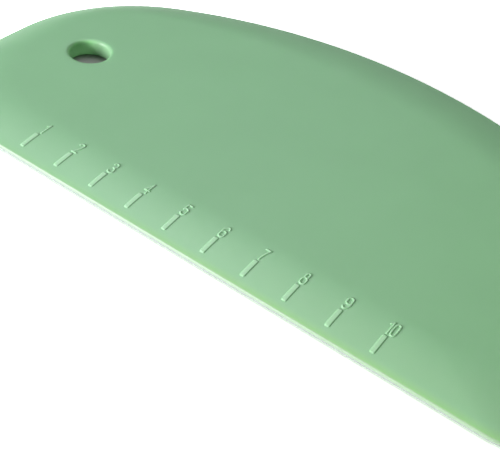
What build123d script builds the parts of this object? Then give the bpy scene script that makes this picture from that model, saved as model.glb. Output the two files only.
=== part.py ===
from build123d import *
import os

# Bowl scraper: one silicone moulding over a thin stiffener plate. It lies flat, with its
# straight edge along X towards -Y, its round edge towards +Y, and its ruler on the upper face.
# The origin is under the middle of its outline. All lengths are in millimetres.

# Outline of the lip: straight edge, corner arcs, straight ends, then a shoulder arc from each
# end to a flatter crown arc. The shoulder's radius is a share of its rise to the crown.
overall_length = 167.8
overall_depth = 92.9
edge_corner_radius = 17.0
end_straight_length = 21.0
shoulder_radius_share = 0.79

# Thickness of the flat middle and of the lip
middle_thickness = 4.4
lip_thickness = 1.1

# Outline of the flat middle, which is set in from the lip by a different width on each side
front_taper_width = 14.0
hole_end_taper_width = 9.0
plain_end_taper_width = 15.0
crown_taper_width = 15.4
middle_crown_offset = 9.5
middle_corner_radius = 22.0
hole_end_straight_length = 10.0
plain_end_straight_length = 3.0
hole_end_radius_share = 0.683
plain_end_radius_share = 0.536

# Rings that shape the taper, as shares of the way from the lip to the flat middle
taper_ring_shares = [0.0, 0.25, 0.5, 0.75, 1.0]

# Hang hole
hang_hole_radius = 5.0
hang_hole_rim_radius = 0.8
hang_hole_from_end = 20.95
hang_hole_from_edge = 40.3

# Raised ruler along the straight edge
mark_count = 10
mark_pitch = 10.0
ruler_zero_from_end = 25.9
mark_from_edge = 2.6
mark_length = 4.9
mark_width = 1.05
mark_corner_radius = 0.3
mark_height = 0.2
digit_gap = 0.42
digit_shift = 0.3
digit_height = 3.2
digit_width = 1.12
digit_stroke = 0.36
digit_spacing = 0.1

# Stiffener plate inside the flat middle
core_thickness = 1.5
core_inset = 2.0
core_hole_wall = 2.2
anchor_hole_radius = 3.0
anchor_columns = 5
anchor_rows = 2
anchor_end_margin = 22.0
anchor_edge_margin = 20.0

# Places worked out from the sizes above
front_y = -overall_depth / 2
hole_end_x = -overall_length / 2
plain_end_x = overall_length / 2
middle_z = middle_thickness / 2
hang_hole_x = hole_end_x + hang_hole_from_end
hang_hole_y = front_y + hang_hole_from_edge
ruler_zero_x = hole_end_x + ruler_zero_from_end
digit_base_y = front_y + mark_from_edge + mark_length + digit_gap + digit_stroke / 2
core_start_x = hole_end_x + hole_end_taper_width + core_inset
core_end_x = plain_end_x - plain_end_taper_width - core_inset
core_front_y = front_y + front_taper_width + core_inset
core_back_y = -front_y - crown_taper_width - core_inset
anchor_pitch_x = (core_end_x - core_start_x - 2 * anchor_end_margin) / (anchor_columns - 1)
anchor_pitch_y = (core_back_y - core_front_y - 2 * anchor_edge_margin) / (anchor_rows - 1)

# Strokes of each digit: two points are a line and three are an arc, in shares of the
# digit's width and height
digit_stroke_shares = {
    "0": [[(0.12, 0.14), (0.05, 0.5), (0.12, 0.86)], [(0.12, 0.86), (0.5, 1), (0.88, 0.86)],
          [(0.88, 0.86), (0.95, 0.5), (0.88, 0.14)], [(0.88, 0.14), (0.5, 0), (0.12, 0.14)]],
    "1": [[(0.7, 0), (0.7, 1)], [(0.7, 1), (0.25, 0.8)]],
    "2": [[(0.02, 0.82), (0.5, 1), (0.98, 0.8)], [(0.98, 0.8), (0.8, 0.48), (0, 0)], [(0, 0), (1, 0)]],
    "3": [[(0.04, 0.85), (0.5, 1), (0.94, 0.82)], [(0.94, 0.82), (0.84, 0.63), (0.4, 0.55)],
          [(0.4, 0.55), (0.86, 0.48), (1, 0.3)], [(1, 0.3), (0.55, 0), (0, 0.15)]],
    "4": [[(0.74, 0), (0.74, 1)], [(0.74, 1), (0, 0.3)], [(0, 0.3), (1, 0.3)]],
    "5": [[(0.92, 1), (0.14, 1)], [(0.14, 1), (0.04, 0.5)], [(0.04, 0.5), (0.5, 0.61), (1, 0.38)],
          [(1, 0.38), (1, 0.18)], [(1, 0.18), (0.5, 0), (0, 0.15)]],
    "6": [[(0, 0.175), (0, 0.385)], [(0, 0.385), (0.5, 0.56), (1, 0.385)], [(1, 0.385), (1, 0.175)],
          [(1, 0.175), (0.5, 0), (0, 0.175)], [(0, 0.38), (0.1, 0.8), (0.55, 1)],
          [(0.55, 1), (0.85, 0.95), (1, 0.84)]],
    "7": [[(0.1, 1), (1, 1)], [(1, 1), (0.55, 0.5), (0.35, 0)]],
    "8": [[(0.17, 0.884), (0.5, 1), (0.83, 0.884)], [(0.83, 0.884), (0.83, 0.676)],
          [(0.83, 0.676), (0.5, 0.56), (0.17, 0.676)], [(0.17, 0.676), (0.17, 0.884)],
          [(0, 0.385), (0.5, 0.56), (1, 0.385)], [(1, 0.385), (1, 0.175)],
          [(1, 0.175), (0.5, 0), (0, 0.175)], [(0, 0.175), (0, 0.385)]],
    "9": [[(1, 0.825), (1, 0.615)], [(1, 0.615), (0.5, 0.44), (0, 0.615)], [(0, 0.615), (0, 0.825)],
          [(0, 0.825), (0.5, 1), (1, 0.825)], [(1, 0.62), (0.9, 0.2), (0.45, 0)],
          [(0.45, 0), (0.15, 0.05), (0, 0.16)]],
}


def between(lip_value, middle_value, share):
    """A size part of the way from the lip, at share 0, to the flat middle, at share 1."""
    return lip_value + (middle_value - lip_value) * share


def ring_half_thickness(share):
    """Half the thickness at a ring: it rolls off from the flat middle towards the lip."""
    rise_share = 1 - (1 - share) ** 2
    return between(lip_thickness, middle_thickness, rise_share) / 2


def ring_face(share):
    """The outline at a share of the taper, filled in. Its crown is two arcs that meet on top."""
    crown_x = between(0, -middle_crown_offset, share)
    crown_y = front_y + between(overall_depth, overall_depth - crown_taper_width, share)
    bottom_y = front_y + front_taper_width * share
    corner_r = between(edge_corner_radius, middle_corner_radius, share)
    ends = [
        (-1, hole_end_taper_width, hole_end_straight_length, hole_end_radius_share),
        (1, plain_end_taper_width, plain_end_straight_length, plain_end_radius_share),
    ]
    corner_starts = []
    with BuildLine() as outline:
        for side, taper_width, middle_straight, middle_radius_share in ends:
            end_x = side * (overall_length / 2 - taper_width * share)
            corner = Vector(end_x - side * corner_r, bottom_y + corner_r)
            shoulder_y = corner.Y + between(end_straight_length, middle_straight, share)
            reach = abs(end_x - crown_x)
            rise = crown_y - shoulder_y
            side_r = rise * between(shoulder_radius_share, middle_radius_share, share)
            crown_r = ((reach - side_r) ** 2 + rise**2 - side_r**2) / (2 * (rise - side_r))
            side_centre = Vector(end_x - side * side_r, shoulder_y)
            crown_centre = Vector(crown_x, crown_y - crown_r)
            crown_to_side = (side_centre - crown_centre).normalized()
            meet = crown_centre + crown_to_side * crown_r
            corner_middle = Vector(side, -1).normalized()
            side_middle = (Vector(side, 0) + crown_to_side).normalized()
            crown_middle = (Vector(0, 1) + crown_to_side).normalized()
            corner_start = Vector(corner.X, bottom_y)
            ThreePointArc(corner_start, corner + corner_middle * corner_r, (end_x, corner.Y))
            Line((end_x, corner.Y), (end_x, shoulder_y))
            ThreePointArc((end_x, shoulder_y), side_centre + side_middle * side_r, meet)
            ThreePointArc(meet, crown_centre + crown_middle * crown_r, (crown_x, crown_y))
            corner_starts.append(corner_start)
        Line(*corner_starts)
    return make_face(outline.edges())


def digit_sketch(digit):
    """One digit from its lower left corner, as strokes with round ends."""
    with BuildSketch() as strokes:
        for stroke in digit_stroke_shares[digit]:
            points = [(digit_width * across, digit_height * up) for across, up in stroke]
            with BuildLine():
                if len(points) == 2:
                    Line(*points)
                else:
                    ThreePointArc(*points)
            trace(line_width=digit_stroke)
            with Locations(points[0], points[-1]):
                Circle(digit_stroke / 2)
    return strokes.sketch


# Body before its holes: one ruled skin over rings from the lower face, round the lip, to the
# upper face
rings = [(ring_half_thickness(share), ring_face(share)) for share in taper_ring_shares]
with BuildPart() as body:
    for half_thickness, ring in reversed(rings):
        with Locations((0, 0, middle_z - half_thickness)):
            add(ring)
    for half_thickness, ring in rings:
        with Locations((0, 0, middle_z + half_thickness)):
            add(ring)
    loft(ruled=True)

# Ruler: bars and numbers that stand up from the tapered face by one height. They are cut from
# a copy of the body raised by that height, so their tops follow the taper.
with BuildPart() as ruler:
    with BuildSketch(Plane.XY.offset(middle_z)):
        for number in range(1, mark_count + 1):
            mark_x = ruler_zero_x + number * mark_pitch
            with Locations((mark_x, front_y + mark_from_edge + mark_length / 2)):
                RectangleRounded(mark_width, mark_length, mark_corner_radius)
            digits = str(number)
            text_width = len(digits) * digit_width + (len(digits) - 1) * digit_spacing
            first_x = mark_x + digit_shift - text_width / 2
            for place, digit in enumerate(digits):
                digit_x = first_x + place * (digit_width + digit_spacing)
                with Locations((digit_x, digit_base_y)):
                    add(digit_sketch(digit))
    extrude(amount=middle_thickness)
    add(body.part.moved(Location((0, 0, mark_height))), mode=Mode.INTERSECT)

# Stiffener plate: it ends inside the flat middle, clears the hang hole, and has holes through
# which the silicone above and below it joins up
with BuildPart() as core_plate:
    with BuildSketch(Plane.XY.offset(middle_z - core_thickness / 2)):
        add(rings[-1][1])
        offset(amount=-core_inset, mode=Mode.REPLACE)
        with Locations((hang_hole_x, hang_hole_y)):
            Circle(hang_hole_radius + core_hole_wall, mode=Mode.SUBTRACT)
        with Locations(((core_start_x + core_end_x) / 2, (core_front_y + core_back_y) / 2)):
            with GridLocations(anchor_pitch_x, anchor_pitch_y, anchor_columns, anchor_rows):
                Circle(anchor_hole_radius, mode=Mode.SUBTRACT)
    extrude(amount=core_thickness)
core_plate.part.label = "core_plate"

# Silicone moulding: the body with its ruler and hang hole, closed all round the plate
with BuildPart() as silicone_overmould:
    add(body.part)
    add(ruler.part)
    with Locations((hang_hole_x, hang_hole_y, middle_thickness)):
        Hole(hang_hole_radius)
    rims = silicone_overmould.edges(Select.LAST).filter_by(GeomType.CIRCLE)
    fillet(rims, radius=hang_hole_rim_radius)
    add(core_plate.part, mode=Mode.SUBTRACT)
silicone_overmould.part.label = "silicone_overmould"

os.makedirs("parts", exist_ok=True)
export_step(core_plate.part, "parts/core_plate.step")
export_step(silicone_overmould.part, "parts/silicone_overmould.step")
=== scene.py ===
"""Bowl scraper: the soft green moulding round its stiffener plate, on a pale floor."""

from math import atan2, cos, hypot, pi, radians, sin

import bpy
import numpy as np
from bpy.props import FloatProperty, FloatVectorProperty, IntProperty, PointerProperty
from mathutils import Euler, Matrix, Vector
from mathutils.geometry import delaunay_2d_cdt


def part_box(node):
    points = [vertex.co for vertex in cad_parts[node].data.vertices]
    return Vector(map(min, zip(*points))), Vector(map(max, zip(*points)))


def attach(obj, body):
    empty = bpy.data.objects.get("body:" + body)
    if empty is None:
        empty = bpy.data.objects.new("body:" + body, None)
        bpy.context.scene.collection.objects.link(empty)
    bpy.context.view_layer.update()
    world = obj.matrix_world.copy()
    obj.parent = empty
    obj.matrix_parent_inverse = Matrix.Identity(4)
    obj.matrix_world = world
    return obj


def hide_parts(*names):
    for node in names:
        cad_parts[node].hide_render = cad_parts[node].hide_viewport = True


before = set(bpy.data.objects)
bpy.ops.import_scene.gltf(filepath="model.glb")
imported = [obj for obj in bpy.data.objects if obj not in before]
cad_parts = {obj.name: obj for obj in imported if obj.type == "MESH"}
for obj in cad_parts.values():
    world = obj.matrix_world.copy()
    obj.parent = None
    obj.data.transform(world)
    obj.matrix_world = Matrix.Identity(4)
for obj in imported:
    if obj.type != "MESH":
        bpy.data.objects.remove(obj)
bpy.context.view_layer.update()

bl_info = {
    "name": "Bowl Scraper",
    "version": (1, 0, 0),
    "blender": (4, 5, 0),
    "location": "3D View > Sidebar > Scraper",
    "description": "Builds a silicone bowl scraper with a raised ruler and a hang hole",
    "category": "Add Mesh",
}

MOULDING_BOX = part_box("silicone_overmould")
MM = 0.001


def length(name, description, default):
    """A length in metres that the sidebar shows with its unit."""
    return FloatProperty(
        name=name, description=description, default=default, unit="LENGTH", precision=5)


def plain_number(name, description, default):
    """A plain number: a share, a power or a strength."""
    return FloatProperty(name=name, description=description, default=default)


def position(name, description, default):
    """A place in metres."""
    return FloatVectorProperty(
        name=name, description=description, subtype="TRANSLATION", default=default)


def shade(name, description, default):
    """A colour, as red, green and blue."""
    return FloatVectorProperty(
        name=name, description=description, subtype="COLOR", default=default)


class ScraperShape(bpy.types.PropertyGroup):
    """Sizes of the moulding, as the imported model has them."""

    overall_length: length("Length", "Longest size of the lip", 167.8 * MM)
    overall_depth: length("Depth", "From the straight edge to the crown", 92.9 * MM)
    corner_radius: length("Corner", "Radius at the ends of the straight edge", 17.0 * MM)
    end_straight: length("End straight", "Straight stretch of each end", 21.0 * MM)
    shoulder_share: plain_number("Shoulder share", "Shoulder radius as a share of its rise", 0.79)
    middle_thickness: length("Middle", "Thickness of the flat middle", 4.4 * MM)
    lip_thickness: length("Lip", "Thickness of the lip at its edge", 1.1 * MM)
    front_taper: length("Front taper", "Width of the taper along the straight edge", 14.0 * MM)
    hole_end_taper: length("Hole end taper", "Width of the taper at the hole's end", 9.0 * MM)
    plain_end_taper: length("Plain end taper", "Width of the taper at the other end", 15.0 * MM)
    crown_taper: length("Crown taper", "Width of the taper along the round edge", 15.4 * MM)
    crown_offset: length(
        "Crown offset", "How far the middle's crown lies towards the hole", 9.5 * MM)
    middle_corner_radius: length("Middle corner", "Corner radius of the flat middle", 22.0 * MM)
    hole_end_straight: length("Hole end straight", "Straight end of the flat middle", 10.0 * MM)
    plain_end_straight: length("Plain end straight", "Straight end of the flat middle", 3.0 * MM)
    hole_end_share: plain_number(
        "Hole end share", "Shoulder radius of the middle at the hole's end", 0.683)
    plain_end_share: plain_number(
        "Plain end share", "Shoulder radius of the middle at the other end", 0.536)
    lip_round_share: plain_number(
        "Lip round", "Width of the lip's rounding as a share of the taper", 0.034)
    hole_radius: length("Hole", "Radius of the hang hole's bore", 5.0 * MM)
    hole_rim: length("Hole rim", "Rounding of the hang hole's rims", 0.8 * MM)
    hole_from_end: length(
        "Hole from end", "From the end of the lip to the hole's axis", 20.95 * MM)
    hole_from_edge: length(
        "Hole from edge", "From the straight edge to the hole's axis", 40.3 * MM)


class ScraperRuler(bpy.types.PropertyGroup):
    """Sizes of the raised ruler along the straight edge."""

    marks: IntProperty(
        name="Marks", description="Number of centimetre marks", default=10, min=1, max=12)
    pitch: length("Pitch", "Distance between two marks", 10.0 * MM)
    zero_from_end: length("Zero", "From the hole's end of the lip to the ruler's zero", 25.9 * MM)
    from_edge: length("From edge", "From the straight edge to the bars", 2.6 * MM)
    bar_length: length("Bar length", "Length of each bar", 4.9 * MM)
    bar_width: length("Bar width", "Width of each bar", 1.05 * MM)
    bar_corner: length("Bar corner", "Corner radius of each bar", 0.3 * MM)
    height: length("Height", "How far the ruler stands up from the taper", 0.17 * MM)
    digit_gap: length("Digit gap", "Gap between a bar and its number", 0.42 * MM)
    digit_shift: length(
        "Digit shift", "How far the numbers sit to the right of their bars", 0.3 * MM)
    digit_height: length("Digit height", "Height of a digit's centre line", 3.2 * MM)
    digit_width: length("Digit width", "Width of a digit's centre line", 1.12 * MM)
    digit_stroke: length("Digit stroke", "Width of a digit's stroke", 0.36 * MM)
    digit_spacing: length("Digit spacing", "Gap between the digits of ten", 0.1 * MM)
    softness: length("Softness", "Half the width over which an edge rolls off", 0.17 * MM)


class ScraperFinish(bpy.types.PropertyGroup):
    """Colours of the two pieces, with painted light and shade on the silicone."""

    middle_colour: shade("Middle", "Silicone over the flat middle", (0.229, 0.470, 0.260))
    # Painted sheen: a paler green over the front taper stands in for the soft reflection on that
    # slope
    taper_colour: shade(
        "Taper", "Silicone over the taper along the straight edge", (0.248, 0.472, 0.276))
    # Painted light: a yellower green just inside the straight edge stands in for light shining
    # through the thin lip
    lip_colour: shade(
        "Lip", "Silicone just inside the lip's straight edge", (0.262, 0.500, 0.215))
    # Painted highlight: a greyer green on the upper rounding of the straight edge
    edge_colour: shade("Edge", "Upper side of the straight edge", (0.257, 0.362, 0.252))
    # Painted shade: grey on the lower side of the straight edge
    worn_colour: shade("Shaded edge", "Lower side of the straight edge", (0.272, 0.303, 0.305))
    # Painted shade: a darker green on the hang hole's wall that the key light reaches
    wall_colour: shade(
        "Hole wall", "The hang hole's wall towards the round edge", (0.180, 0.350, 0.188))
    # Painted light: a lighter green on the hang hole's wall in the key light's shade
    end_wall_colour: shade(
        "Hole end wall", "The hang hole's wall towards the scraper's end", (0.32, 0.67, 0.32))
    # Painted highlight: a paler green on the ruler's tops
    ruler_colour: shade("Ruler", "Tops of the raised ruler", (0.332, 0.575, 0.362))
    nylon_colour: shade("Nylon", "Stiffener plate inside", (0.83, 0.82, 0.76))


class ScraperStage(bpy.types.PropertyGroup):
    """Camera and light."""

    camera_place: position("Camera", "Where the camera stands", (0.08754, -0.17087, 0.14286))
    camera_turn: FloatVectorProperty(
        name="Camera turn", description="The camera's rotation", subtype="EULER",
        default=(radians(49.18), radians(-6.40), radians(36.17)))
    camera_lens: plain_number("Lens", "Focal length in millimetres", 74.69)
    key_place: position("Key place", "Where the key light stands", (-0.614, -0.983, 0.310))
    key_size: length("Key size", "Side of the key light's soft box", 0.42)
    key_watts: plain_number("Key light", "Power of the key light", 29.0)
    top_place: position("Top place", "Where the light overhead hangs", (-0.25, 0.27, 0.82))
    top_size: length("Top size", "Side of the soft box overhead", 0.45)
    top_watts: plain_number("Top light", "Power of the light overhead", 3.0)
    sky_strength: plain_number("Sky", "Strength of the light from all round", 0.135)


# Strokes of each digit: two points are a line and three are an arc, in shares of the digit's
# width and height
DIGIT_STROKE_SHARES = {
    "0": [[(0.12, 0.14), (0.05, 0.5), (0.12, 0.86)], [(0.12, 0.86), (0.5, 1), (0.88, 0.86)],
          [(0.88, 0.86), (0.95, 0.5), (0.88, 0.14)], [(0.88, 0.14), (0.5, 0), (0.12, 0.14)]],
    "1": [[(0.7, 0), (0.7, 1)], [(0.7, 1), (0.25, 0.8)]],
    "2": [[(0.02, 0.82), (0.5, 1), (0.98, 0.8)], [(0.98, 0.8), (0.8, 0.48), (0, 0)],
          [(0, 0), (1, 0)]],
    "3": [[(0.04, 0.85), (0.5, 1), (0.94, 0.82)], [(0.94, 0.82), (0.84, 0.63), (0.4, 0.55)],
          [(0.4, 0.55), (0.86, 0.48), (1, 0.3)], [(1, 0.3), (0.55, 0), (0, 0.15)]],
    "4": [[(0.74, 0), (0.74, 1)], [(0.74, 1), (0, 0.3)], [(0, 0.3), (1, 0.3)]],
    "5": [[(0.92, 1), (0.14, 1)], [(0.14, 1), (0.04, 0.5)], [(0.04, 0.5), (0.5, 0.61), (1, 0.38)],
          [(1, 0.38), (1, 0.18)], [(1, 0.18), (0.5, 0), (0, 0.15)]],
    "6": [[(0, 0.175), (0, 0.385)], [(0, 0.385), (0.5, 0.56), (1, 0.385)],
          [(1, 0.385), (1, 0.175)], [(1, 0.175), (0.5, 0), (0, 0.175)],
          [(0, 0.38), (0.1, 0.8), (0.55, 1)], [(0.55, 1), (0.85, 0.95), (1, 0.84)]],
    "7": [[(0.1, 1), (1, 1)], [(1, 1), (0.55, 0.5), (0.35, 0)]],
    "8": [[(0.17, 0.884), (0.5, 1), (0.83, 0.884)], [(0.83, 0.884), (0.83, 0.676)],
          [(0.83, 0.676), (0.5, 0.56), (0.17, 0.676)], [(0.17, 0.676), (0.17, 0.884)],
          [(0, 0.385), (0.5, 0.56), (1, 0.385)], [(1, 0.385), (1, 0.175)],
          [(1, 0.175), (0.5, 0), (0, 0.175)], [(0, 0.175), (0, 0.385)]],
    "9": [[(1, 0.825), (1, 0.615)], [(1, 0.615), (0.5, 0.44), (0, 0.615)],
          [(0, 0.615), (0, 0.825)], [(0, 0.825), (0.5, 1), (1, 0.825)],
          [(1, 0.62), (0.9, 0.2), (0.45, 0)], [(0.45, 0), (0.15, 0.05), (0, 0.16)]],
}


def between(start, end, share):
    """A value part of the way from start to end."""
    return start + (end - start) * share


def arc_points(centre, radius, start, end, count):
    """Points along an arc between two angles, without its last one."""
    angles = start + (end - start) * np.arange(count) / count
    return np.column_stack(
        [centre[0] + radius * np.cos(angles), centre[1] + radius * np.sin(angles)])


def line_points(start, end, count):
    """Points along a line, without its last one."""
    steps = np.arange(count)[:, None] / count
    return np.array(start) + (np.array(end) - np.array(start)) * steps


class RingCounts:
    """How many points each stretch of a ring has."""

    front = 120
    corner = 24
    end = 12
    shoulder = 36
    crown = 48


def half_ring(shape, share, side):
    """One side of a ring, from its front corner to its crown.

    The side is 1 away from the hang hole, and -1 towards it.
    """
    plain = side > 0
    taper = shape.plain_end_taper if plain else shape.hole_end_taper
    middle_straight = shape.plain_end_straight if plain else shape.hole_end_straight
    middle_share = shape.plain_end_share if plain else shape.hole_end_share
    front_y = -shape.overall_depth / 2 + shape.front_taper * share
    crown_x = -shape.crown_offset * share
    crown_y = shape.overall_depth / 2 - shape.crown_taper * share
    end_x = shape.overall_length / 2 - taper * share
    corner_r = between(shape.corner_radius, shape.middle_corner_radius, share)
    corner_y = front_y + corner_r
    shoulder_y = corner_y + between(shape.end_straight, middle_straight, share)
    reach = end_x - side * crown_x
    rise = crown_y - shoulder_y
    side_r = rise * between(shape.shoulder_share, middle_share, share)
    crown_r = ((reach - side_r) ** 2 + rise**2 - side_r**2) / (2 * (rise - side_r))
    meet = atan2(shoulder_y - (crown_y - crown_r), reach - side_r)
    corner_x = end_x - corner_r
    crown_centre = (side * crown_x, crown_y - crown_r)
    stretches = [
        arc_points((corner_x, corner_y), corner_r, -pi / 2, 0, RingCounts.corner),
        line_points((end_x, corner_y), (end_x, shoulder_y), RingCounts.end),
        arc_points((end_x - side_r, shoulder_y), side_r, 0, meet, RingCounts.shoulder),
        arc_points(crown_centre, crown_r, meet, pi / 2, RingCounts.crown),
        np.array([[side * crown_x, crown_y]]),
    ]
    points = np.vstack(stretches)
    points[:, 0] *= side
    return points


def ring_points(shape, share):
    """The closed outline at a share of the taper: its straight edge, then round by the crown."""
    plain_side = half_ring(shape, share, 1)
    hole_side = half_ring(shape, share, -1)[::-1]
    front = line_points(hole_side[-1], plain_side[0], RingCounts.front)
    return np.vstack([front, plain_side, hole_side[1:-1]])


def taper_shares(shape, steps):
    """Even shares of the taper, from where the lip's edge is rounded off to the flat middle."""
    return [between(shape.lip_round_share, 1, i / steps) for i in range(steps + 1)]


def half_thickness(shape, share):
    """Half the thickness at a share of the taper: it rolls off from the middle to the lip."""
    return between(shape.lip_thickness, shape.middle_thickness, 1 - (1 - share) ** 2) / 2


def arc_through(first, second, third, count):
    """Points on the arc through three points, with both ends."""
    (ax, ay), (bx, by), (cx, cy) = first, second, third
    cross = 2 * (ax * (by - cy) + bx * (cy - ay) + cx * (ay - by))
    a2, b2, c2 = ax**2 + ay**2, bx**2 + by**2, cx**2 + cy**2
    x = (a2 * (by - cy) + b2 * (cy - ay) + c2 * (ay - by)) / cross
    y = (a2 * (cx - bx) + b2 * (ax - cx) + c2 * (bx - ax)) / cross
    start, middle, end = (atan2(py - y, px - x) for px, py in (first, second, third))
    turn = (end - start) % (2 * pi)
    if (middle - start) % (2 * pi) > turn:
        turn -= 2 * pi
    angles = start + turn * np.arange(count + 1) / count
    radius = hypot(ax - x, ay - y)
    return np.column_stack([x + radius * np.cos(angles), y + radius * np.sin(angles)])


class Relief:
    """The raised bars and numbers, as a signed distance from their edges."""

    ARC_STEPS = 14       # Segments in each arc of a digit
    REACH = 3.6 * MM     # Nothing on a mark lies further than this to either side of it

    def __init__(self, shape, ruler):
        self.ruler = ruler
        self.front_y = -shape.overall_depth / 2
        zero_x = -shape.overall_length / 2 + ruler.zero_from_end
        self.marks = []
        for number in range(1, ruler.marks + 1):
            mark_x = zero_x + number * ruler.pitch
            self.marks.append((mark_x, self.number_segments(str(number), mark_x)))

    def number_segments(self, digits, mark_x):
        """The centre lines of a number as short segments, centred over its bar."""
        ruler = self.ruler
        bar_end = self.front_y + ruler.from_edge + ruler.bar_length
        base_y = bar_end + ruler.digit_gap + ruler.digit_stroke / 2
        width = len(digits) * ruler.digit_width + (len(digits) - 1) * ruler.digit_spacing
        segments = []
        for place, digit in enumerate(digits):
            from_first = place * (ruler.digit_width + ruler.digit_spacing)
            left_x = mark_x + ruler.digit_shift - width / 2 + from_first
            for stroke in DIGIT_STROKE_SHARES[digit]:
                points = [(left_x + ruler.digit_width * u, base_y + ruler.digit_height * v)
                          for u, v in stroke]
                line = np.array(points)
                if len(points) > 2:
                    line = arc_through(*points, self.ARC_STEPS)
                segments.extend(zip(line[:-1], line[1:]))
        return np.array(segments)

    def distance(self, points):
        """Distance from the nearest edge of the relief: below zero on a bar or a stroke."""
        ruler = self.ruler
        result = np.full(len(points), self.REACH)
        half_bar = np.array([ruler.bar_width / 2, ruler.bar_length / 2]) - ruler.bar_corner
        for mark_x, segments in self.marks:
            near = np.abs(points[:, 0] - mark_x) < self.REACH
            if not near.any():
                continue
            spot = points[near]
            bar_centre = np.array([mark_x, self.front_y + ruler.from_edge + ruler.bar_length / 2])
            outside = np.abs(spot - bar_centre) - half_bar
            bar = np.hypot(*np.maximum(outside, 0).T) + np.minimum(outside.max(axis=1), 0)
            bar -= ruler.bar_corner
            start, along = segments[:, 0], segments[:, 1] - segments[:, 0]
            offset = spot[:, None] - start
            share = np.clip((offset * along).sum(axis=2) / (along**2).sum(axis=1), 0, 1)
            gap = offset - share[:, :, None] * along
            stroke = np.hypot(gap[:, :, 0], gap[:, :, 1]).min(axis=1) - ruler.digit_stroke / 2
            result[near] = np.minimum(result[near], np.minimum(bar, stroke))
        return result

    def height(self, points):
        """How far the relief stands up at each point, with edges that roll off softly."""
        softness = self.ruler.softness
        share = np.clip((softness - self.distance(points)) / (2 * softness), 0, 1)
        return self.ruler.height * share * share * (3 - 2 * share)

    def area(self):
        """The corners of the rectangle that holds the relief, with a margin."""
        ruler = self.ruler
        margin = 1.0 * MM
        top = ruler.from_edge + ruler.bar_length + ruler.digit_gap
        top = top + ruler.digit_height + ruler.digit_stroke
        low_x = self.marks[0][0] - ruler.digit_width - margin
        high_x = self.marks[-1][0] + 2 * ruler.digit_width + margin
        low_y = self.front_y + ruler.from_edge - margin
        high_y = self.front_y + top + margin
        return np.array([low_x, low_y]), np.array([high_x, high_y])


def relief_grid(relief):
    """Points over the relief: wide apart on flats, and close together across its edges."""
    rows = 8
    finest = 0.08 * MM
    same_point = finest / 8
    half_diagonal = 0.75    # Share of a cell's size, with a little to spare
    low, high = relief.area()
    size = (high[1] - low[1]) / rows
    columns = int((high[0] - low[0]) / size) + 1
    cells = np.array([(low[0] + (i + 0.5) * size, low[1] + (j + 0.5) * size)
                      for i in range(columns) for j in range(rows)])
    corners = np.array([(-0.5, -0.5), (0.5, -0.5), (-0.5, 0.5), (0.5, 0.5)])
    leaves = []
    while len(cells):
        split = np.abs(relief.distance(cells)) < size * half_diagonal + relief.ruler.softness
        if size <= finest:
            split[:] = False
        leaves.append((cells[~split, None] + corners * size).reshape(-1, 2))
        cells = (cells[split, None] + corners * size / 2).reshape(-1, 2)
        size /= 2
    points = np.vstack(leaves)
    keys = np.round(points / same_point).astype(np.int64)
    first = np.unique(keys, axis=0, return_index=True)[1]
    return points[np.sort(first)]


def circle_points(centre, radius, count):
    """Points round a circle."""
    return arc_points(centre, radius, 0, 2 * pi, count)


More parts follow.
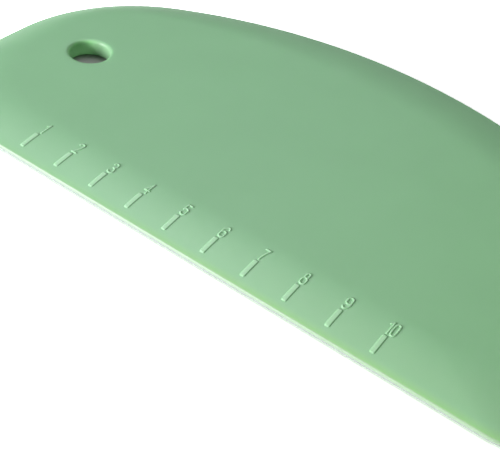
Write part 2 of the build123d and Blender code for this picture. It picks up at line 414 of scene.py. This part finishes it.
class Face:
    """One broad face of the moulding: its points, heights and triangles."""

    HOLE_POINTS = 96
    HOLE_RINGS = (1 * MM, 2 * MM, 4 * MM)    # Rings of points round the hole, from its rim
    HOLE_CLEAR = 6 * MM                      # How far from the rim the grid of points starts
    SAME_POINT = 1e-5                        # Points this close are one, in millimetres
    SLACK = 0.001 * MM                       # Allowed inside the rim's corners

    def __init__(self, shape, ring_shares, grid_step, relief=None):
        self.shape = shape
        hole = hole_centre(shape)
        rim = shape.hole_radius + shape.hole_rim
        rings = [ring_points(shape, share) for share in ring_shares]
        shares = [np.full(len(ring), share) for ring, share in zip(rings, ring_shares)]
        self.ring_size = len(rings[0])
        loop = circle_points(hole, rim, self.HOLE_POINTS)
        points, values = [rings[0], loop], [shares[0], np.ones(len(loop))]
        for ring, value in zip(rings[1:], shares[1:]):
            if relief:
                low, high = relief.area()
                keep = ~((ring > low).all(axis=1) & (ring < high).all(axis=1))
                ring, value = ring[keep], value[keep]
            points.append(ring)
            values.append(value)
        flats = [circle_points(hole, rim + gap, self.HOLE_POINTS // 2) for gap in self.HOLE_RINGS]
        flats.append(self.inner_grid(hole, rim + self.HOLE_CLEAR, grid_step))
        for flat in flats:
            points.append(flat)
            values.append(np.ones(len(flat)))
        if relief:
            grid = relief_grid(relief)
            points.append(grid)
            from_edge = grid[:, 1] + shape.overall_depth / 2
            values.append(np.clip(from_edge / shape.front_taper, 0, 1))
        self.points = np.vstack(points)
        self.shares = np.concatenate(values)
        self.triangulate(hole, rim)
        self.relief = relief.height(self.points) if relief else np.zeros(len(self.points))
        top = MOULDING_BOX[1][2] - shape.middle_thickness / 2
        self.heights = np.minimum(half_thickness(shape, self.shares) + self.relief, top)

    def inner_grid(self, hole, clear, step):
        """A staggered grid over the flat middle, clear of its edge and of the hole."""
        ring = ring_points(self.shape, 1)
        low, high = ring.min(axis=0), ring.max(axis=0)
        rows = np.arange(low[1] + step, high[1] - step / 2, step)
        grid = [(x, y) for row, y in enumerate(rows)
                for x in np.arange(low[0] + step * (1 + row % 2 / 2), high[0] - step / 2, step)]
        grid = np.array(grid)
        along = np.roll(ring, -1, axis=0) - ring
        normal = np.column_stack([-along[:, 1], along[:, 0]]) / np.hypot(*along.T)[:, None]
        depth = ((grid[:, None] - ring) * normal).sum(axis=2).min(axis=1)
        away = np.hypot(*(grid - hole).T)
        return grid[(depth > step / 2) & (away > clear)]

    def triangulate(self, hole, rim):
        """Joins the points into triangles, and leaves the hole open."""
        ring, loop = self.ring_size, self.HOLE_POINTS
        edges = [(i, (i + 1) % ring) for i in range(ring)]
        edges += [(ring + i, ring + (i + 1) % loop) for i in range(loop)]
        flat = [Vector(point) for point in (self.points / MM).tolist()]
        _, _, faces, sources, _, _ = delaunay_2d_cdt(flat, edges, [], 0, self.SAME_POINT)
        order = [source[0] for source in sources]
        new_index = {old: new for new, source in enumerate(sources) for old in source}
        self.points, self.shares = self.points[order], self.shares[order]
        triangles = np.array([face for face in faces if len(face) == 3])
        corners = self.points[triangles]
        from_hole = np.hypot(*(corners.mean(axis=1) - hole).T)
        keep = from_hole > rim * cos(pi / loop) - self.SLACK
        side_a, side_b = corners[:, 1] - corners[:, 0], corners[:, 2] - corners[:, 0]
        turn = side_a[:, 0] * side_b[:, 1] - side_a[:, 1] * side_b[:, 0]
        triangles[turn < 0] = triangles[turn < 0][:, ::-1]
        self.triangles = triangles[keep & (turn != 0)]
        self.outer_loop = [new_index[i] for i in range(ring)]
        self.hole_loop = [new_index[ring + i] for i in range(loop)]


def hole_centre(shape):
    """The hang hole's axis."""
    x = -shape.overall_length / 2 + shape.hole_from_end
    y = -shape.overall_depth / 2 + shape.hole_from_edge
    return np.array([x, y])


class Moulding:
    """Gathers the moulding's points and faces, with its thinness and its relief at each point.

    Thinness rises from 0 on the flat middle to nearly 1 where the lip's edge starts to round
    off, and to 2 on the edge itself. It falls to -1 on the hang hole's wall.
    """

    ROUND_STEPS = 6             # Bands from a broad face to the middle of a rounded edge
    LEAST_RELIEF = 0.01 * MM    # Keeps a face without a ruler from dividing by zero

    def __init__(self, shape):
        self.shape = shape
        self.middle_z = shape.middle_thickness / 2
        self.verts, self.faces, self.thinness, self.relief = [], [], [], []

    def add_points(self, flat, heights, thinness, relief=None):
        """Adds points and gives the index of the first."""
        start = len(self.verts)
        self.verts.extend((x, y, self.middle_z + z) for (x, y), z in zip(flat, heights))
        self.thinness.extend(thinness)
        self.relief.extend([0.0] * len(flat) if relief is None else relief)
        return start

    def add_face(self, face, side):
        """Adds a broad face, above or below, and gives the loops at its lip and its hole."""
        relief = face.relief / max(face.relief.max(), self.LEAST_RELIEF)
        start = self.add_points(face.points, side * face.heights, 1 - face.shares, relief)
        for a, b, c in face.triangles.tolist():
            corners = (a, b, c) if side > 0 else (c, b, a)
            self.faces.append(tuple(start + corner for corner in corners))
        return [start + i for i in face.outer_loop], [start + i for i in face.hole_loop]

    def add_loop(self, flat, height, thin):
        """Adds a closed loop of points at one height."""
        count = len(flat)
        start = self.add_points(flat, [height] * count, [thin] * count)
        return list(range(start, start + count))

    def bridge(self, upper, lower, outward):
        """Joins two loops with a band of quads that faces out of the moulding or into its hole."""
        count = len(upper)
        for i in range(count):
            j = (i + 1) % count
            quad = (upper[i], lower[i], lower[j], upper[j])
            self.faces.append(quad if outward else quad[::-1])

    def round_turns(self):
        """The sides and angles of a rounding, from the upper face down to the lower one."""
        turns = [pi / 2 * i / self.ROUND_STEPS for i in range(self.ROUND_STEPS - 1, -1, -1)]
        return [(1, angle) for angle in turns] + [(-1, angle) for angle in turns[::-1]]

    def bridge_all(self, loops, outward):
        """Joins each loop to the next."""
        for first, second in zip(loops, loops[1:]):
            self.bridge(first, second, outward)

    def add_lip(self, upper, lower):
        """Rounds the lip between the two broad faces."""
        shape = self.shape
        share = shape.lip_round_share
        radius = share * shape.front_taper
        flat_top = half_thickness(shape, share) - radius
        loops = [upper]
        for side, angle in self.round_turns():
            flat = ring_points(shape, share * (1 - cos(angle)))
            height = flat_top + radius * sin(angle)
            loops.append(self.add_loop(flat, side * height, 1 + cos(angle)))
        self.bridge_all([*loops, lower], True)

    def add_hole(self, upper, lower):
        """Rounds both rims of the hang hole and joins them with its wall."""
        shape = self.shape
        centre = hole_centre(shape)
        rim = shape.hole_rim
        loops = [upper]
        for side, angle in self.round_turns():
            radius = shape.hole_radius + rim * (1 - cos(angle))
            height = self.middle_z - rim * (1 - sin(angle))
            flat = circle_points(centre, radius, len(upper))
            loops.append(self.add_loop(flat, side * height, -cos(angle)))
        self.bridge_all([*loops, lower], False)

    def make_object(self, name):
        """Makes the mesh object, smooth all over, and stores its thinness and relief."""
        mesh = bpy.data.meshes.new(name)
        mesh.from_pydata(self.verts, [], self.faces)
        mesh.update()
        mesh.shade_smooth()
        for label, values in (("thinness", self.thinness), ("relief", self.relief)):
            layer = mesh.attributes.new(label, "FLOAT", "POINT")
            layer.data.foreach_set("value", values)
        piece = bpy.data.objects.new(name, mesh)
        bpy.context.scene.collection.objects.link(piece)
        return piece


class NodeTree:
    """A short way to add and join a material's nodes."""

    def __init__(self, name):
        self.material = bpy.data.materials.new(name)
        self.material.use_nodes = True
        self.tree = self.material.node_tree
        self.shader = self.tree.nodes["Principled BSDF"]

    def add(self, kind, **settings):
        """Adds a node and sets its properties."""
        node = self.tree.nodes.new(kind)
        for key, value in settings.items():
            setattr(node, key, value)
        return node

    def join(self, output, target):
        """Joins an output socket to an input socket."""
        self.tree.links.new(output, target)

    def place(self):
        """The spot on the piece, in its own coordinates."""
        return self.add("ShaderNodeTexCoord").outputs["Object"]

    def stored(self, name):
        """A value that the mesh stores at its points."""
        return self.add("ShaderNodeAttribute", attribute_name=name).outputs["Fac"]

    def noise(self, scale, detail, roughness=0.5):
        """Noise over the piece, from 0 to 1."""
        noise = self.add("ShaderNodeTexNoise")
        noise.inputs["Scale"].default_value = scale
        noise.inputs["Detail"].default_value = detail
        noise.inputs["Roughness"].default_value = roughness
        self.join(self.place(), noise.inputs["Vector"])
        return noise.outputs["Fac"]

    def spread(self, value, low, high):
        """Maps a value from 0 and 1 to low and high."""
        node = self.add("ShaderNodeMapRange")
        node.inputs["To Min"].default_value = low
        node.inputs["To Max"].default_value = high
        self.join(value, node.inputs["Value"])
        return node.outputs["Result"]

    def ramp(self, value, span):
        """A soft step from 0 at the span's start to 1 at its end."""
        node = self.add("ShaderNodeMapRange", interpolation_type="SMOOTHSTEP")
        node.inputs["From Min"].default_value = span[0]
        node.inputs["From Max"].default_value = span[1]
        self.join(value, node.inputs["Value"])
        return node.outputs["Result"]

    def calculate(self, operation, first, second):
        """A value worked out from two others."""
        node = self.add("ShaderNodeMath", operation=operation)
        self.join(first, node.inputs[0])
        self.join(second, node.inputs[1])
        return node.outputs["Value"]

    def times(self, first, second):
        """The product of two values."""
        return self.calculate("MULTIPLY", first, second)

    def measure(self, operation, vector, other=(0, 0, 0)):
        """A vector's length, its distance from another one, or their dot product."""
        node = self.add("ShaderNodeVectorMath", operation=operation)
        node.inputs[1].default_value = other
        self.join(vector, node.inputs[0])
        return node.outputs["Value"]

    def mix(self, factor, first, second, blend="MIX"):
        """Mixes two colours, each a value or a socket."""
        node = self.add("ShaderNodeMix", data_type="RGBA", blend_type=blend)
        colour_inputs = [socket for socket in node.inputs if socket.type == "RGBA"]
        for socket, colour in zip(colour_inputs, (first, second)):
            if isinstance(colour, bpy.types.NodeSocket):
                self.join(colour, socket)
            else:
                socket.default_value = (*colour, 1)
        if isinstance(factor, bpy.types.NodeSocket):
            self.join(factor, node.inputs[0])
        else:
            node.inputs[0].default_value = factor
        return next(socket for socket in node.outputs if socket.type == "RGBA")

    def tint(self, colour, by):
        """A colour times another colour or a value."""
        return self.mix(1.0, colour, by, "MULTIPLY")

    def bump(self, height, strength, distance, below=None):
        """A bump from a height, on top of another bump."""
        node = self.add("ShaderNodeBump")
        node.inputs["Strength"].default_value = strength
        node.inputs["Distance"].default_value = distance
        self.join(height, node.inputs["Height"])
        if below:
            self.join(below, node.inputs["Normal"])
        return node.outputs["Normal"]


def grey(level):
    """A colour with the same red, green and blue."""
    return (level, level, level)


WHITE = grey(1.0)


class SiliconeLook:
    """Where the silicone's colour changes, and by how much: mostly painted light and shade.

    A span is the start and the end of a soft step: of thinness, or of a place in metres. A tint
    multiplies the colour.
    """

    taper_thin = (0.1, 0.8)
    taper_y = (20 * MM, -15 * MM)
    straight_edge_y = (10 * MM, -20 * MM)
    lip_thin = (0.84, 1.0)
    lip_x = (-90 * MM, 30 * MM)
    edge_thin = (1.0, 1.8)
    low_edge_thin = (1.0, 1.2)
    low_edge_z = (2.4 * MM, 2.0 * MM)

    # Lit and shaded copies of the hang hole's wall: the side towards the scraper's end, in the key
    # light's shade, is painted lighter, and the side further along this direction, the key light's
    # heading, is painted darker
    wall_thin = (0.0, -1.0)
    wall_direction = (0.53, 0.85, 0.0)
    far_wall = (-37.6 * MM, -34.6 * MM)

    cloud_scale, cloud_detail = 70, 3
    cloud_low, cloud_high = 0.96, 1.04
    drift_x = (-20 * MM, 90 * MM)
    drift_tint = (0.95, 1.0, 0.90)
    # Painted shade: the front taper, short of the lip, is painted darker towards the plain end
    inside_lip_thin = (1.0, 0.8)
    plain_end_x = (-10 * MM, 40 * MM)
    plain_end_tint = (0.92, 0.94, 0.91)


def silicone_colour(nodes, finish):
    """Cloudy green: paler on the taper and the ruler as painted sheen and highlight, greyer on the
    straight edge as painted highlight and shade.
    """
    look = SiliconeLook
    thin = nodes.stored("thinness")
    relief = nodes.stored("relief")
    place = nodes.place()
    axes = nodes.add("ShaderNodeSeparateXYZ")
    nodes.join(place, axes.inputs["Vector"])
    x, y, z = (axes.outputs[axis] for axis in "XYZ")

    # Painted sheen: the front taper is painted a paler green in place of its soft reflection
    taper = nodes.times(nodes.ramp(thin, look.taper_thin), nodes.ramp(y, look.taper_y))
    colour = nodes.mix(taper, finish.middle_colour, finish.taper_colour)

    straight = nodes.ramp(y, look.straight_edge_y)
    # Painted light: a yellower glow of light through the thin lip, just inside the straight edge
    lip = nodes.times(nodes.ramp(thin, look.lip_thin), straight)
    lip = nodes.times(lip, nodes.ramp(x, look.lip_x))
    colour = nodes.mix(lip, colour, finish.lip_colour)
    # Painted highlight: a greyer green on the upper rounding of the straight edge
    edge = nodes.times(nodes.ramp(thin, look.edge_thin), straight)
    colour = nodes.mix(edge, colour, finish.edge_colour)
    # Painted shade: grey on the lower side of the straight edge
    low_edge = nodes.times(nodes.ramp(thin, look.low_edge_thin), nodes.ramp(z, look.low_edge_z))
    colour = nodes.mix(nodes.times(low_edge, straight), colour, finish.worn_colour)

    # Painted light and shade: the hang hole's wall is lighter where the key light's shade falls
    # and darker where the key light reaches
    lit_side = nodes.ramp(nodes.measure("DOT_PRODUCT", place, look.wall_direction), look.far_wall)
    wall = nodes.mix(lit_side, finish.end_wall_colour, finish.wall_colour)
    colour = nodes.mix(nodes.ramp(thin, look.wall_thin), colour, wall)
    # Painted highlight: the ruler's tops are painted a paler green
    colour = nodes.mix(relief, colour, finish.ruler_colour)

    clouds = nodes.noise(look.cloud_scale, look.cloud_detail)
    colour = nodes.tint(colour, nodes.spread(clouds, look.cloud_low, look.cloud_high))
    colour = nodes.tint(colour, nodes.mix(nodes.ramp(x, look.drift_x), WHITE, look.drift_tint))
    # Painted shade: the front taper, short of the lip, is painted darker towards the plain end
    inside_lip = nodes.times(taper, nodes.ramp(thin, look.inside_lip_thin))
    plain_end = nodes.times(inside_lip, nodes.ramp(x, look.plain_end_x))
    return nodes.tint(colour, nodes.mix(plain_end, WHITE, look.plain_end_tint))


def silicone_material(finish):
    """Soft matt silicone with a fine moulded grain over slow waves."""
    nodes = NodeTree("green_silicone")
    inputs = nodes.shader.inputs
    nodes.join(silicone_colour(nodes, finish), inputs["Base Color"])
    roughness = nodes.spread(nodes.noise(scale=900, detail=4), low=0.46, high=0.54)
    nodes.join(roughness, inputs["Roughness"])
    fine = nodes.noise(scale=5200, detail=3, roughness=0.6)
    grain = nodes.bump(fine, strength=0.12, distance=0.03 * MM)
    slow = nodes.noise(scale=130, detail=2)
    waves = nodes.bump(slow, strength=0.25, distance=0.06 * MM, below=grain)
    nodes.join(waves, inputs["Normal"])
    inputs["IOR"].default_value = 1.5
    inputs["Specular IOR Level"].default_value = 0.65
    inputs["Subsurface Weight"].default_value = 0.35
    inputs["Subsurface Scale"].default_value = 2 * MM
    inputs["Subsurface Radius"].default_value = (0.7, 1.0, 0.6)
    return nodes.material


def nylon_material(finish):
    """Natural nylon of the stiffener: off-white, faintly mottled, with a fine moulded grain."""
    nodes = NodeTree("natural_nylon")
    inputs = nodes.shader.inputs
    mottle = 0.9
    darker = tuple(mottle * channel for channel in finish.nylon_colour)
    colour = nodes.mix(nodes.noise(scale=160, detail=4), finish.nylon_colour, darker)
    nodes.join(colour, inputs["Base Color"])
    roughness = nodes.spread(nodes.noise(scale=700, detail=3), low=0.42, high=0.55)
    nodes.join(roughness, inputs["Roughness"])
    grain = nodes.bump(nodes.noise(scale=2600, detail=4), strength=0.15, distance=0.04 * MM)
    nodes.join(grain, inputs["Normal"])
    inputs["Subsurface Weight"].default_value = 0.1
    inputs["Subsurface Scale"].default_value = 1 * MM
    return nodes.material


class SCRAPER_OT_moulding(bpy.types.Operator):
    """Builds the silicone moulding with its tapered lip, ruler and hang hole"""

    bl_idname = "scraper.moulding"
    bl_label = "Silicone moulding"

    def execute(self, context):
        shape, ruler = context.scene.scraper_shape, context.scene.scraper_ruler
        moulding = Moulding(shape)
        upper = Face(shape, taper_shares(shape, steps=18), grid_step=3.0 * MM,
                     relief=Relief(shape, ruler))
        lower = Face(shape, taper_shares(shape, steps=10), grid_step=5.0 * MM)
        upper_lip, upper_hole = moulding.add_face(upper, 1)
        lower_lip, lower_hole = moulding.add_face(lower, -1)
        moulding.add_lip(upper_lip, lower_lip)
        moulding.add_hole(upper_hole, lower_hole)
        piece = moulding.make_object("silicone_moulding")
        piece.data.materials.append(silicone_material(context.scene.scraper_finish))
        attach(piece, "root")
        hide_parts("silicone_overmould")
        return {"FINISHED"}


class SCRAPER_OT_stiffener(bpy.types.Operator):
    """Gives the stiffener plate its nylon finish"""

    bl_idname = "scraper.stiffener"
    bl_label = "Stiffener plate"

    def execute(self, context):
        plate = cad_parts["core_plate"]
        material = nylon_material(context.scene.scraper_finish)
        for slot in plate.material_slots:
            slot.material = material
        return {"FINISHED"}


class FloorLook:
    """Sizes of the floor, and how light it looks, with painted shade under the lip and in the hang
    hole.

    Levels are what the camera sees, except bounce_level, which is for the light that the floor
    throws back.
    """

    half_size = 3.0
    drop = 0.02 * MM
    roughness = 0.9
    open_level = 2.4
    under_lip_level = 0.6
    hole_level = 0.36
    bounce_level = 0.86
    occlusion_reach = 3 * MM
    occlusion_samples = 16
    occlusion_span = (0.15, 0.55)
    hole_span = (6 * MM, 10 * MM)     # From the hang hole's axis
    glow_span = (0.15, 0.5)           # From the middle of the floor


def floor_material(hole):
    """White to rays from the camera, with painted shade under the lip and in the hang hole."""
    look = FloorLook
    nodes = NodeTree("floor_white")
    inputs = nodes.shader.inputs
    inputs["Roughness"].default_value = look.roughness
    inputs["Specular IOR Level"].default_value = 0.0
    path = nodes.add("ShaderNodeLightPath").outputs
    seen = nodes.calculate("MAXIMUM", path["Is Camera Ray"], path["Is Glossy Ray"])
    place = nodes.place()
    # Painted shade: the floor is darker where the scraper closes it in, and darker still under the
    # hang hole
    occlusion = nodes.add("ShaderNodeAmbientOcclusion", samples=look.occlusion_samples)
    occlusion.inputs["Distance"].default_value = look.occlusion_reach
    in_open = nodes.ramp(occlusion.outputs["AO"], look.occlusion_span)
    colour = nodes.mix(in_open, grey(look.under_lip_level), grey(look.open_level))
    off_hole = nodes.ramp(nodes.measure("DISTANCE", place, (*hole, 0)), look.hole_span)
    colour = nodes.mix(off_hole, grey(look.hole_level), colour)
    nodes.join(nodes.mix(seen, grey(look.bounce_level), colour), inputs["Base Color"])
    away = nodes.ramp(nodes.measure("LENGTH", place), look.glow_span)
    inputs["Emission Color"].default_value = (*WHITE, 1)
    nodes.join(nodes.times(away, seen), inputs["Emission Strength"])
    return nodes.material


def white_floor(hole):
    """A wide white floor just under the scraper."""
    reach, z = FloorLook.half_size, -FloorLook.drop
    corners = [(-reach, -reach, z), (reach, -reach, z), (reach, reach, z), (-reach, reach, z)]
    mesh = bpy.data.meshes.new("floor")
    mesh.from_pydata(corners, [], [(0, 1, 2, 3)])
    mesh.materials.append(floor_material(hole))
    floor = bpy.data.objects.new("floor", mesh)
    bpy.context.scene.collection.objects.link(floor)


def white_world(sky_strength):
    """Light from all round, which the camera sees as plain white."""
    world = bpy.data.worlds.new("white_sky")
    world.use_nodes = True
    tree = world.node_tree
    sky = tree.nodes["Background"]
    sky.inputs["Color"].default_value = (*WHITE, 1)
    path = tree.nodes.new("ShaderNodeLightPath")
    seen = tree.nodes.new("ShaderNodeMath")
    seen.operation = "MAXIMUM"
    tree.links.new(path.outputs["Is Camera Ray"], seen.inputs[0])
    tree.links.new(path.outputs["Is Transmission Ray"], seen.inputs[1])
    strength = tree.nodes.new("ShaderNodeMapRange")
    strength.inputs["To Min"].default_value = sky_strength
    strength.inputs["To Max"].default_value = 1.0
    tree.links.new(seen.outputs["Value"], strength.inputs["Value"])
    tree.links.new(strength.outputs["Result"], sky.inputs["Strength"])
    bpy.context.scene.world = world


def soft_light(name, place, watts, size):
    """A square soft box that points at the object."""
    data = bpy.data.lights.new(name, "AREA")
    data.energy = watts
    data.size = size
    light = bpy.data.objects.new(name, data)
    light.location = place
    light.rotation_euler = (-Vector(place)).to_track_quat("-Z", "Y").to_euler()
    bpy.context.scene.collection.objects.link(light)


class SCRAPER_OT_stage(bpy.types.Operator):
    """Adds the floor, the light and the camera"""

    bl_idname = "scraper.stage"
    bl_label = "Floor, light and camera"

    def execute(self, context):
        stage = context.scene.scraper_stage
        white_floor(hole_centre(context.scene.scraper_shape))
        white_world(stage.sky_strength)
        soft_light("key_light", stage.key_place, stage.key_watts, stage.key_size)
        soft_light("top_light", stage.top_place, stage.top_watts, stage.top_size)
        data = bpy.data.cameras.new("camera")
        data.sensor_width = 36.0
        data.sensor_fit = "HORIZONTAL"
        data.lens = stage.camera_lens
        data.clip_start = 0.01
        camera = bpy.data.objects.new("camera", data)
        camera.location = stage.camera_place
        camera.rotation_euler = Euler(stage.camera_turn)
        context.scene.collection.objects.link(camera)
        context.scene.camera = camera
        context.scene.view_settings.view_transform = "Standard"
        return {"FINISHED"}


class SCRAPER_PT_panel(bpy.types.Panel):
    """Lists the steps and the sizes"""

    bl_idname = "SCRAPER_PT_panel"
    bl_label = "Bowl scraper"
    bl_space_type = "VIEW_3D"
    bl_region_type = "UI"
    bl_category = "Scraper"

    def draw(self, context):
        layout = self.layout
        for step in STEPS:
            layout.operator(step.bl_idname)
        for group in (context.scene.scraper_shape, context.scene.scraper_ruler,
                      context.scene.scraper_finish, context.scene.scraper_stage):
            box = layout.box()
            for name in group.__annotations__:
                box.prop(group, name)


STEPS = (SCRAPER_OT_moulding, SCRAPER_OT_stiffener, SCRAPER_OT_stage)
GROUPS = {
    "scraper_shape": ScraperShape,
    "scraper_ruler": ScraperRuler,
    "scraper_finish": ScraperFinish,
    "scraper_stage": ScraperStage,
}


def register():
    """Registers the sizes, the steps and the panel."""
    for name, group in GROUPS.items():
        bpy.utils.register_class(group)
        setattr(bpy.types.Scene, name, PointerProperty(type=group))
    for step in (*STEPS, SCRAPER_PT_panel):
        bpy.utils.register_class(step)


def unregister():
    """Takes away what register added."""
    for step in (SCRAPER_PT_panel, *reversed(STEPS)):
        bpy.utils.unregister_class(step)
    for name, group in reversed(GROUPS.items()):
        delattr(bpy.types.Scene, name)
        bpy.utils.unregister_class(group)


def main():
    """Builds the scraper and its stage."""
    register()
    bpy.ops.scraper.moulding()
    bpy.ops.scraper.stiffener()
    bpy.ops.scraper.stage()


if __name__ == "__main__":
    main()
